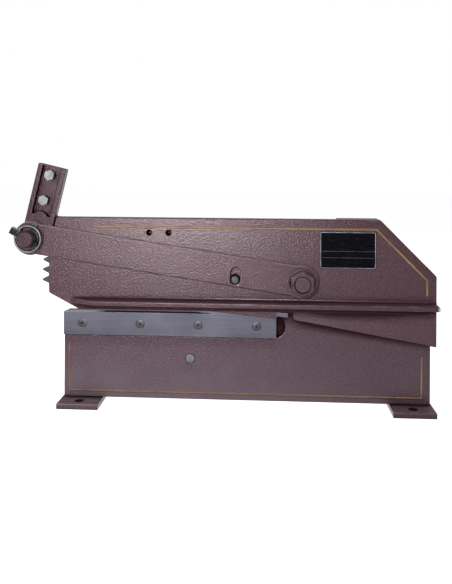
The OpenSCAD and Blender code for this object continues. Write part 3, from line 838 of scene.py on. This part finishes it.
class ScrewRow(NodeSketch):
    """Places copies of one screw along a straight row."""

    def __init__(self) -> None:
        """Builds the tree."""
        super().__init__(
            "screw_row", Screw="Object", Count="Int", Start="Vector", Step="Vector", Turn="Float"
        )
        line = self.add("GeometryNodeMeshLine", {
            "Count": self.asked("Count"), "Start Location": self.asked("Start"), "Offset": self.asked("Step"),
        }, mode="OFFSET")
        feeds = {"Object": self.asked("Screw")}
        screw = self.add("GeometryNodeObjectInfo", feeds, transform_space="ORIGINAL")
        index = self.add("GeometryNodeInputIndex")
        turn = self.add("ShaderNodeMath", {0: index.outputs[0], 1: self.asked("Turn")}, operation="MULTIPLY")
        angles = self.add("ShaderNodeCombineXYZ", {"Y": turn.outputs[0]})
        copies = self.add("GeometryNodeInstanceOnPoints", {
            "Points": line.outputs["Mesh"], "Instance": screw.outputs["Geometry"],
            "Rotation": angles.outputs["Vector"],
        })
        self.close(copies.outputs["Instances"])


class FaceLine(NodeSketch):
    """Sweeps a flat strip along a path drawn in the front view."""

    def __init__(self) -> None:
        """Builds the tree."""
        super().__init__("face_line", Width="Float", Height="Float", Corner="Float", Depth="Float")
        path = self.add("GeometryNodeMeshToCurve", {"Mesh": self.asked("Geometry")})
        bend = self.add("GeometryNodeFilletCurve", {
            "Curve": path.outputs["Curve"], "Radius": self.asked("Corner"), "Count": 6,
        }, mode="POLY")
        level = self.add("GeometryNodeSetCurveNormal", {"Curve": bend.outputs["Curve"]}, mode="Z_UP")
        strip = self.add("GeometryNodeCurvePrimitiveQuadrilateral", {
            "Width": self.asked("Width"), "Height": self.asked("Height"),
        }, mode="RECTANGLE")
        sweep = self.add("GeometryNodeCurveToMesh", {
            "Curve": level.outputs["Curve"], "Profile Curve": strip.outputs["Curve"], "Fill Caps": True,
        })
        place = self.add("ShaderNodeCombineXYZ", {"Y": self.asked("Depth")})
        stand = self.add("GeometryNodeTransform", {
            "Geometry": sweep.outputs["Mesh"], "Translation": place.outputs["Vector"],
            "Rotation": (math.pi / 2, 0.0, 0.0),
        })
        self.close(stand.outputs["Geometry"])


def path_mesh(name: str, points: list[Pair], closed: bool = False) -> bpy.types.Mesh:
    """A path of straight edges in the front view.

    Args:
        name: the mesh's name.
        points: X and Z of each corner, in metres.
        closed: whether the last point joins the first.

    Returns:
        A mesh with edges alone, drawn in X and Y.
    """
    mesh = bpy.data.meshes.new(name)
    edges = [(i, i + 1) for i in range(len(points) - 1)]
    if closed:
        edges.append((len(points) - 1, 0))
    mesh.from_pydata([(x, z, 0.0) for x, z in points], edges, [])
    return mesh


def turned(outline: list[Pair], steps: int) -> bmesh.types.BMesh:
    """A solid of revolution about the Y axis.

    Args:
        outline: radius and depth of each corner in mm, from the front to the back centre.
        steps: facets round the axis.

    Returns:
        The solid, open at the front if the outline starts away from the axis.
    """
    grid = bmesh.new()
    rings = [
        [
            grid.verts.new((
                radius * MM * math.cos(2 * math.pi * k / steps), depth * MM,
                radius * MM * math.sin(2 * math.pi * k / steps),
            ))
            for k in range(steps if radius else 1)
        ]
        for radius, depth in outline
    ]
    for a, b in zip(rings, rings[1:]):
        for k in range(steps):
            n = (k + 1) % steps
            corners = [a[k % len(a)], a[n % len(a)], b[n % len(b)], b[k % len(b)]]
            unique = list(dict.fromkeys(corners))
            if len(unique) > 2:
                grid.faces.new(unique)
    bmesh.ops.recalc_face_normals(grid, faces=grid.faces)
    return grid


@dataclass(frozen=True)
class SocketScrew:
    """Countersunk screw with a hexagon socket, its head towards -Y and its face at depth 0.

    Attributes:
        head_r: radius of the head in mm.
        shank_r: radius of the shank in mm.
        length: length in mm.
        socket_r: radius over the socket's corners in mm.
        socket_depth: depth of the socket in mm.
        soft: rounding of the head's rim in mm.
        chamfer: width and length of the chamfer at the end in mm.
        facets: facets round the screw, a multiple of 6.
        rubbed: how worn the head's face is, 0 to 1.
    """

    head_r: float
    shank_r: float
    length: float
    socket_r: float
    socket_depth: float = 3.2
    soft: float = 0.35
    chamfer: Pair = (0.8, 1.0)
    facets: int = 36
    rubbed: float = 0.2

    def build(self, shop: Shop, name: str) -> bpy.types.Object:
        """Makes the screw as a hidden pattern for a row.

        Args:
            shop: where pieces are made.
            name: the pattern's name.

        Returns:
            The pattern object, which the row's tree copies.
        """
        head, shank, soft, end = self.head_r, self.shank_r, self.soft, self.length
        width, run = self.chamfer
        grid = turned([
            (head - soft, 0.0), (head - soft * 0.3, soft * 0.3), (head - 0.1, soft), (shank, head - shank),
            (shank, end - run), (shank - width, end), (0.0, end),
        ], self.facets)
        rim = [v for v in grid.verts if abs(v.co.y) < 1e-7]
        rim.sort(key=lambda v: math.atan2(v.co.z, v.co.x))
        reach = self.socket_r * MM
        hexagon = [
            grid.verts.new((reach * math.cos(k * math.pi / 3), 0.0, reach * math.sin(k * math.pi / 3)))
            for k in range(-3, 3)
        ]
        floor = [grid.verts.new((v.co.x, self.socket_depth * MM, v.co.z)) for v in hexagon]
        share = len(rim) // 6
        wear = grid.faces.layers.float.new(WEAR)
        for k in range(6):
            n = (k + 1) % 6
            arc = [rim[(k * share + i) % len(rim)] for i in range(share + 1)]
            grid.faces.new([*arc, hexagon[n], hexagon[k]])[wear] = self.rubbed
            grid.faces.new([hexagon[k], hexagon[n], floor[n], floor[k]])
        grid.faces.new(floor)
        bmesh.ops.recalc_face_normals(grid, faces=grid.faces)
        pattern = shop.poured(name, grid, SCREW_CREASE)
        pattern.hide_render = True
        return pattern


def lines_of(shop: Shop, name: str, points: list[Pair], depth: float, width: float,
             height: float, corner: float, finish: bpy.types.Material,
             closed: bool = False) -> bpy.types.Object:
    """A strip along a path on a front face.

    Args:
        shop: where pieces are made.
        name: the piece's name.
        points: X and Z of each corner, in metres.
        depth: Y of the strip's middle, in metres.
        width: its width in metres.
        height: its thickness in metres.
        corner: radius of its corners in metres.
        finish: its material.
        closed: whether the path is a loop.

    Returns:
        The strip as a plain mesh.
    """
    piece = shop.link(name, path_mesh(name, points, closed))
    shop.face_line.run(piece, Width=width, Height=height, Corner=corner, Depth=depth, Finish=finish)
    return shop.settle(piece)


def painted(shop: Shop, name: str, points: list[Pair], face: float) -> bpy.types.Object:
    """A painted line on a front face of the frame.

    Args:
        shop: where pieces are made.
        name: the piece's name.
        points: X and Z of each corner, in metres.
        face: Y of the face, in metres.

    Returns:
        The finished line.
    """
    depth = face - LINE_HEIGHT / 4
    strip = lines_of(shop, name, points, depth, LINE_WIDTH, LINE_HEIGHT, 0.0, shop.finishes.lines)
    return shop.own(strip, Body.FRAME, Slot.PAINT)


class Assembly(ABC):
    """A group of pieces that are made together."""

    @abstractmethod
    def build(self, shop: Shop) -> Iterator[bpy.types.Object]:
        """Makes the group's pieces.

        Args:
            shop: where pieces are made.

        Returns:
            The pieces in order.
        """


@dataclass
class LowerBody(Assembly):
    """The upright body on its two feet, with its through bolt and painted lines.

    Attributes:
        casting: rounding of the painted plates.
        foot: rounding of the feet, which leaves the countersinks as they are.
        bolt: rounding of the bolt.
        line_in: distance of the lines from the sides and the foot of the body in mm.
        line_top: height at which the upright lines end, in mm.
    """

    casting: EdgeRound = EdgeRound(1.3, 3)
    foot: EdgeRound = EdgeRound(1.3, 3, shorter=3.0)
    bolt: EdgeRound = EdgeRound(0.5)
    line_in: Triple = (7.5, 11.5, 9.0)
    line_top: Pair = (84.0, 74.0)

    def build(self, shop: Shop) -> Iterator[bpy.types.Object]:
        """Makes the body's pieces.

        Args:
            shop: where pieces are made.

        Returns:
            The pieces in order.
        """
        seated = shop.finishes.seated
        yield shop.dressed("upright_body", "base_body", Body.FRAME, Slot.PAINT, self.casting, seated)
        yield shop.dressed("foot_at_left", "left_foot", Body.FRAME, Slot.PAINT, self.foot, seated)
        yield shop.dressed("foot_at_right", "right_foot", Body.FRAME, Slot.PAINT, self.foot, seated)
        yield shop.dressed("through_bolt", "frame_bolt", Body.FRAME, Slot.ZINC, self.bolt)
        yield self.lines(shop)

    def lines(self, shop: Shop) -> bpy.types.Object:
        """Paints the line round the lower part of the body's face.

        Args:
            shop: where pieces are made.

        Returns:
            The painted line.
        """
        low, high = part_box("base_body")
        left, right, foot = (v * MM for v in self.line_in)
        points = [
            (low.x + left, self.line_top[0] * MM), (low.x + left, low.z + foot),
            (high.x - right, low.z + foot), (high.x - right, self.line_top[1] * MM),
        ]
        return painted(shop, "body_line", points, low.y)


@dataclass
class FrontCheek(Assembly):
    """The cheek with its rib and neck, its plate and its painted line.

    Attributes:
        casting: rounding of the cheek.
        plate: rounding of the plate.
        line_in: distance of the line from the cheek's edges in mm.
        line_start: X at which the line starts at the left, in mm.
        line_end: height at which it ends at the right, in mm.
        slope: width of the sloping corner in mm.
        rim: width, height and inset of the plate's bright rim in mm.
        rim_corner: radius of the rim's corners in mm.
        rows: heights of the plate's dividing lines above its foot, in mm.
        row_in: gap between the dividing lines' ends and the rim, in mm.
        row_share: their width and height as shares of the rim's.
    """

    casting: EdgeRound = EdgeRound(1.5, 3)
    plate: EdgeRound = EdgeRound(0.25)
    line_in: float = 12.5
    line_start: float = -200.0
    line_end: float = 164.0
    slope: float = 74.0
    rim: Triple = (0.8, 0.4, 0.9)
    rim_corner: float = 1.2
    rows: tuple[float, ...] = (14.5, 23.0)
    row_in: float = 2.0
    row_share: Pair = (0.25, 0.5)

    def build(self, shop: Shop) -> Iterator[bpy.types.Object]:
        """Makes the cheek's pieces.

        Args:
            shop: where pieces are made.

        Returns:
            The pieces in order.
        """
        yield shop.dressed("cheek_casting", "front_cheek", Body.FRAME, Slot.PAINT, self.casting)
        yield shop.dressed("plate_face", "nameplate", Body.FRAME, Slot.PLATE, self.plate)
        yield self.line(shop)
        yield self.plate_rim(shop)

    def line(self, shop: Shop) -> bpy.types.Object:
        """Paints the line along the cheek's top, slope and right side.

        Args:
            shop: where pieces are made.

        Returns:
            The painted line.
        """
        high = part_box("front_cheek")[1]
        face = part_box("nameplate")[1].y
        inset = self.line_in * MM
        slope = self.slope * MM
        # An inset corner of a 45 degree slope moves along the edge by this much
        lean = inset * math.tan(math.radians(45.0 / 2))
        points = [
            (self.line_start * MM, high.z - inset),
            (high.x - slope - lean, high.z - inset),
            (high.x - inset, high.z - slope - lean),
            (high.x - inset, self.line_end * MM),
        ]
        return painted(shop, "cheek_line", points, face)

    def plate_rim(self, shop: Shop) -> bpy.types.Object:
        """Makes the bright rim and dividing lines of the plate.

        Args:
            shop: where pieces are made.

        Returns:
            The rim and its lines as one piece.
        """
        low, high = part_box("nameplate")
        width, height, inset = (v * MM for v in self.rim)
        a, b = low.x + inset, high.x - inset
        c, d = low.z + inset, high.z - inset
        gap, thin, flat = self.row_in * MM, width * self.row_share[0], height * self.row_share[1]
        bright = shop.finishes.bright
        rim = lines_of(shop, "plate_rim", [(a, c), (b, c), (b, d), (a, d)], low.y, width, height,
                       self.rim_corner * MM, bright, closed=True)
        parts = [rim]
        for k, row in enumerate(self.rows):
            z = low.z + row * MM
            parts.append(lines_of(shop, f"plate_row_{k}", [(a + gap, z), (b - gap, z)], low.y,
                                  thin, flat, 0.0, bright))
        return shop.own(merged(parts), Body.FRAME, Slot.PLATE)


def merged(parts: list[bpy.types.Object]) -> bpy.types.Object:
    """Joins pieces of one finish into the first of them.

    Args:
        parts: the pieces.

    Returns:
        The first piece, which holds all the meshes.
    """
    grid = bmesh.new()
    for part in parts:
        grid.from_mesh(part.data)
    grid.to_mesh(parts[0].data)
    grid.free()
    for part in parts[1:]:
        bpy.data.objects.remove(part)
    return parts[0]


@dataclass
class Blades(Assembly):
    """Both blades and the screws that hold them.

    Attributes:
        blade: rounding of the blades.
        screw: the screw of the fixed blade.
        margin: distance of the end screws from the blade's ends, in mm.
        count: screws in the fixed blade.
        sunk: how far the heads lie below the blade's face, in mm.
        turn: turn of each screw from the one before, in radians.
    """

    blade: EdgeRound = EdgeRound(0.45)
    screw: SocketScrew = SocketScrew(head_r=6.1, shank_r=3.5, length=19.5, socket_r=2.65)
    margin: float = 27.0
    count: int = 4
    sunk: float = 0.4
    turn: float = 0.37

    def build(self, shop: Shop) -> Iterator[bpy.types.Object]:
        """Makes the blades and their screws.

        Args:
            shop: where pieces are made.

        Returns:
            The pieces in order.
        """
        yield shop.dressed("fixed_blade", "lower_blade", Body.FRAME, Slot.BLADE, self.blade)
        yield shop.dressed("swinging_blade", "upper_blade", Body.ARM, Slot.BLADE, self.blade)
        yield self.fixed_screws(shop)
        shop.plain("upper_blade_screws", Slot.BLACK)

    def fixed_screws(self, shop: Shop) -> bpy.types.Object:
        """Sets the row of screws in the fixed blade.

        Args:
            shop: where pieces are made.

        Returns:
            The row as one piece.
        """
        low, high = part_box("lower_blade")
        pattern = self.screw.build(shop, "blade_screw_pattern")
        step = (high.x - low.x - 2 * self.margin * MM) / (self.count - 1)
        start = (low.x + self.margin * MM, low.y + self.sunk * MM, (low.z + high.z) / 2)
        piece = shop.link("fixed_blade_screws", bpy.data.meshes.new("fixed_blade_screws"))
        shop.screw_row.run(
            piece, Screw=pattern, Count=self.count, Start=start, Step=(step, 0.0, 0.0), Turn=self.turn,
            Finish=shop.finishes.by_slot[Slot.BLACK],
        )
        shop.settle(piece)
        bpy.data.objects.remove(pattern)
        return shop.own(piece, Body.FRAME, Slot.BLACK, "lower_blade_screws")


@dataclass
class SwingArm(Assembly):
    """The knife arm and the strap, with the main pivot that they turn on.

    Attributes:
        arm: rounding of the knife arm.
        strap: rounding of the strap.
        fastener: rounding of the nut, the bolt and the washers.
        stop: rounding of the stop pin.
    """

    arm: EdgeRound = EdgeRound(0.9, 2)
    strap: EdgeRound = EdgeRound(1.4, 3)
    fastener: EdgeRound = EdgeRound(1.0, 3)
    stop: EdgeRound = EdgeRound(0.6, 2)

    def build(self, shop: Shop) -> Iterator[bpy.types.Object]:
        """Makes the arm's pieces.

        Args:
            shop: where pieces are made.

        Returns:
            The pieces in order.
        """
        yield shop.dressed("rear_arm", "knife_arm", Body.ARM, Slot.PAINT, self.arm)
        seated, dusted_top_lit = shop.finishes.seated, shop.finishes.dusted_top_lit
        yield shop.dressed("front_strap", "strap_arm", Body.ARM, Slot.PAINT, self.strap, dusted_top_lit)
        yield shop.dressed("main_nut", "pivot_nut", Body.FRAME, Slot.PAINT, self.fastener, seated)
        yield shop.dressed("main_washer", "pivot_front_washer", Body.FRAME, Slot.PAINT, self.fastener, seated)
        yield shop.dressed("main_bolt", "pivot_bolt", Body.FRAME, Slot.PAINT, self.fastener, seated)
        yield shop.dressed("main_rear_washer", "pivot_rear_washer", Body.FRAME, Slot.ZINC, self.fastener)
        yield shop.dressed("travel_stop", "stop_pin", Body.FRAME, Slot.BLADE, self.stop, shop.finishes.dull)
        for node in ("arm_bush", "strap_bush"):
            shop.plain(node, Slot.BRONZE)


@dataclass
class LeverPin(Assembly):
    """The pin that ties the arms, its collar, nut, linch pin and snap ring, and the oiler.

    Attributes:
        pin: rounding of the pin.
        small: rounding of its nut and of the linch pin.
        trim: rounding of the collar and the oiler.
        ring: rounding of the snap ring.
    """

    pin: EdgeRound = EdgeRound(0.5, 2)
    small: EdgeRound = EdgeRound(0.6, 3)
    trim: EdgeRound = EdgeRound(0.3, 2)
    ring: EdgeRound = EdgeRound(0.15)

    def build(self, shop: Shop) -> Iterator[bpy.types.Object]:
        """Makes the pin's pieces.

        Args:
            shop: where pieces are made.

        Returns:
            The pieces in order.
        """
        looks = shop.finishes
        yield shop.dressed("tie_pin", "lever_pin", Body.ARM, Slot.PAINT, self.pin, looks.handled)
        yield shop.dressed("tie_pin_nut", "lever_pin_nut", Body.ARM, Slot.ZINC, self.small)
        # The collar's near-black finish paints the shade between the pin and the snap ring.
        yield shop.dressed("tie_pin_collar", "pin_collar", Body.ARM, Slot.BLACK, self.trim, looks.dark_shaded)
        yield shop.dressed("linch", "linch_pin", Body.ARM, Slot.ZINC, self.small, looks.dark_shaded)
        yield shop.dressed("oil_cup", "oiler", Body.ARM, Slot.ZINC, self.trim, looks.dull)
        yield shop.dressed("snap_ring", "linch_ring", Body.RING, Slot.ZINC, self.ring)


@dataclass
class HandLever(Assembly):
    """The lever's socket with its bolts, the pinion and sector behind it, and the plain screws.

    Attributes:
        casting: rounding of the socket.
        bolt: rounding of the bolts and nuts.
        tooth: rounding of the teeth.
    """

    casting: EdgeRound = EdgeRound(1.1, 3)
    bolt: EdgeRound = EdgeRound(0.6, 3)
    tooth: EdgeRound = EdgeRound(0.3, 2)

    def build(self, shop: Shop) -> Iterator[bpy.types.Object]:
        """Makes the lever's pieces.

        Args:
            shop: where pieces are made.

        Returns:
            The pieces in order.
        """
        handled = shop.finishes.handled
        yield shop.dressed("lever_socket", "hand_lever", Body.LEVER, Slot.PAINT, self.casting, handled)
        yield shop.dressed("socket_bolts", "handle_bolts", Body.LEVER, Slot.ZINC, self.bolt)
        yield shop.dressed("socket_nuts", "handle_nuts", Body.LEVER, Slot.ZINC, self.bolt)
        yield shop.dressed("rolling_pinion", "lever_pinion", Body.LEVER, Slot.BLACK, self.tooth)
        yield shop.dressed("fixed_teeth", "toothed_sector", Body.FRAME, Slot.BLACK, self.tooth)
        shop.plain("pinion_bush", Slot.BRONZE)
        shop.plain("pinion_dowels", Slot.BLADE)
        for node in ("sector_screws", "cheek_bolts", "foot_screws"):
            shop.plain(node, Slot.BLACK)


@dataclass(frozen=True)
class Softbox:
    """A rectangular lamp.

    Attributes:
        name: the lamp's name.
        place: where it stands, in metres.
        aim: the point that it faces, in metres.
        size: width and height in metres.
        power: power in watts.
    """

    name: str
    place: Triple
    aim: Triple
    size: Pair
    power: float

    def build(self, scene: bpy.types.Scene) -> None:
        """Adds the lamp.

        Args:
            scene: the scene that it lights.
        """
        data = bpy.data.lights.new(self.name, "AREA")
        data.shape = "RECTANGLE"
        data.size, data.size_y = self.size
        data.energy = self.power
        lamp = bpy.data.objects.new(self.name, data)
        facing = (Vector(self.aim) - Vector(self.place)).to_track_quat("-Z", "Y")
        lamp.matrix_world = Matrix.Translation(self.place) @ facing.to_matrix().to_4x4()
        scene.collection.objects.link(lamp)


@dataclass
class Studio:
    """Pale floor, white surround, soft lamps and the camera.

    Attributes:
        eye: the camera's place in metres.
        yaw: its turn to the left in degrees.
        roll: its roll in degrees.
        lens: focal length in mm.
        rise: vertical shift of the frame.
        floor_size: width of the floor in metres.
        floor_tone: brightness of the floor's paint.
        floor_veil: light that the floor adds where it is seen, so that it looks white.
        surround: strength of the soft light from all round.
        lamps: the softboxes.
    """

    eye: Triple = (0.02624, -0.93545, 0.33692)
    yaw: float = 3.313
    roll: float = 0.312
    lens: float = 40.849
    rise: float = -0.2183
    floor_size: float = 14.0
    floor_tone: float = 0.55
    floor_veil: float = 0.95
    surround: float = 0.07
    lamps: tuple[Softbox, ...] = (
        Softbox("front_softbox", (-0.20, -0.90, 0.33), (-0.09, 0.0, 0.20), (0.26, 0.16), 9.0),
        Softbox("key_softbox", (-0.62, -0.98, 0.72), (-0.10, 0.0, 0.18), (0.28, 0.28), 4.5),
        Softbox("top_softbox", (0.0, 0.1, 1.6), (0.0, 0.0, 0.1), (1.6, 1.0), 2.6),
        Softbox("rear_softbox", (0.3, 1.7, 1.4), (0.0, 0.0, 0.15), (1.4, 0.7), 32.0),
    )

    def build(self) -> None:
        """Sets up everything round the object."""
        scene = bpy.context.scene
        scene.view_settings.view_transform = "Standard"
        self.camera(scene)
        self.world(scene)
        self.floor(scene)
        for lamp in self.lamps:
            lamp.build(scene)

    def camera(self, scene: bpy.types.Scene) -> None:
        """Places the camera at the photo's viewing angle.

        Args:
            scene: the scene that gets it.
        """
        data = bpy.data.cameras.new("photo_camera")
        data.lens = self.lens
        data.shift_y = self.rise
        camera = bpy.data.objects.new("photo_camera", data)
        turn = Matrix.Rotation(math.radians(self.yaw), 4, "Z") @ Matrix.Rotation(math.pi / 2, 4, "X")
        turn = turn @ Matrix.Rotation(math.radians(self.roll), 4, "Z")
        camera.matrix_world = Matrix.Translation(self.eye) @ turn
        scene.collection.objects.link(camera)
        scene.camera = camera

    @staticmethod
    def when_seen(sketch: TreeSketch, unseen: Socket, seen: Socket) -> Socket:
        """One shader where it is seen or mirrored, and another elsewhere.

        Args:
            sketch: the tree.
            unseen: the shader for light that spreads.
            seen: the shader for camera, mirror and glass rays.

        Returns:
            The mixed shader.
        """
        path = sketch.add("ShaderNodeLightPath")
        factor = path.outputs["Is Camera Ray"]
        for ray in ("Is Glossy Ray", "Is Transmission Ray"):
            either = sketch.add("ShaderNodeMath", {0: factor, 1: path.outputs[ray]}, operation="MAXIMUM")
            factor = either.outputs[0]
        return sketch.add("ShaderNodeMixShader", {0: factor, 1: unseen, 2: seen}).outputs[0]

    def world(self, scene: bpy.types.Scene) -> None:
        """A surround that is white where it is seen or mirrored, and a soft grey light elsewhere.

        Args:
            scene: the scene that gets it.
        """
        world = bpy.data.worlds.new("studio")
        world.use_nodes = True
        sketch = TreeSketch(world.node_tree)
        white = sketch.add("ShaderNodeBackground", {"Color": (1.0, 1.0, 1.0), "Strength": 1.0})
        soft = sketch.add("ShaderNodeBackground", {"Color": (0.96, 0.98, 1.0), "Strength": self.surround})
        mixed = self.when_seen(sketch, soft.outputs[0], white.outputs[0])
        sketch.add("ShaderNodeOutputWorld", {"Surface": mixed})
        scene.world = world

    def floor(self, scene: bpy.types.Scene) -> None:
        """A pale floor that keeps the object's shadow.

        Args:
            scene: the scene that gets it.
        """
        half = self.floor_size / 2
        mesh = bpy.data.meshes.new("floor")
        rim = [(-half, -half, 0), (half, -half, 0), (half, half, 0), (-half, half, 0)]
        mesh.from_pydata(rim, [], [(0, 1, 2, 3)])
        floor = bpy.data.objects.new("floor", mesh)
        scene.collection.objects.link(floor)
        material = bpy.data.materials.new("pale_floor")
        material.use_nodes = True
        sketch = TreeSketch(material.node_tree)
        matt = sketch.add("ShaderNodeBsdfDiffuse", {"Color": (self.floor_tone,) * 3})
        veil = sketch.add("ShaderNodeEmission", {"Strength": self.floor_veil})
        lit = sketch.add("ShaderNodeAddShader", {0: matt.outputs[0], 1: veil.outputs[0]})
        mixed = self.when_seen(sketch, matt.outputs[0], lit.outputs[0])
        sketch.add("ShaderNodeOutputMaterial", {"Surface": mixed})
        mesh.materials.append(material)
        floor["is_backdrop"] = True


def corners(box: tuple) -> list[list[float]]:
    """A box as plain lists of numbers."""
    return [[float(v) for v in corner] for corner in box]


def main() -> None:
    """Builds the studio and every sub-assembly, and works out the two boxes."""
    logging.basicConfig(level=logging.INFO, format="%(name)s: %(message)s")
    for thing in list(bpy.data.objects):
        bpy.data.objects.remove(thing)
    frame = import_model()
    cad_box = corners(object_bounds())
    Studio().build()
    shop = Shop(frame)
    assemblies: tuple[Assembly, ...] = (
        LowerBody(), FrontCheek(), Blades(), SwingArm(), LeverPin(), HandLever(),
    )
    for assembly in assemblies:
        for piece in assembly.build(shop):
            LOG.info("%s: %d faces", piece.name, len(piece.data.polygons))
    {"cad": cad_box, "visual": corners(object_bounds())}


if __name__ == "__main__":
    main()
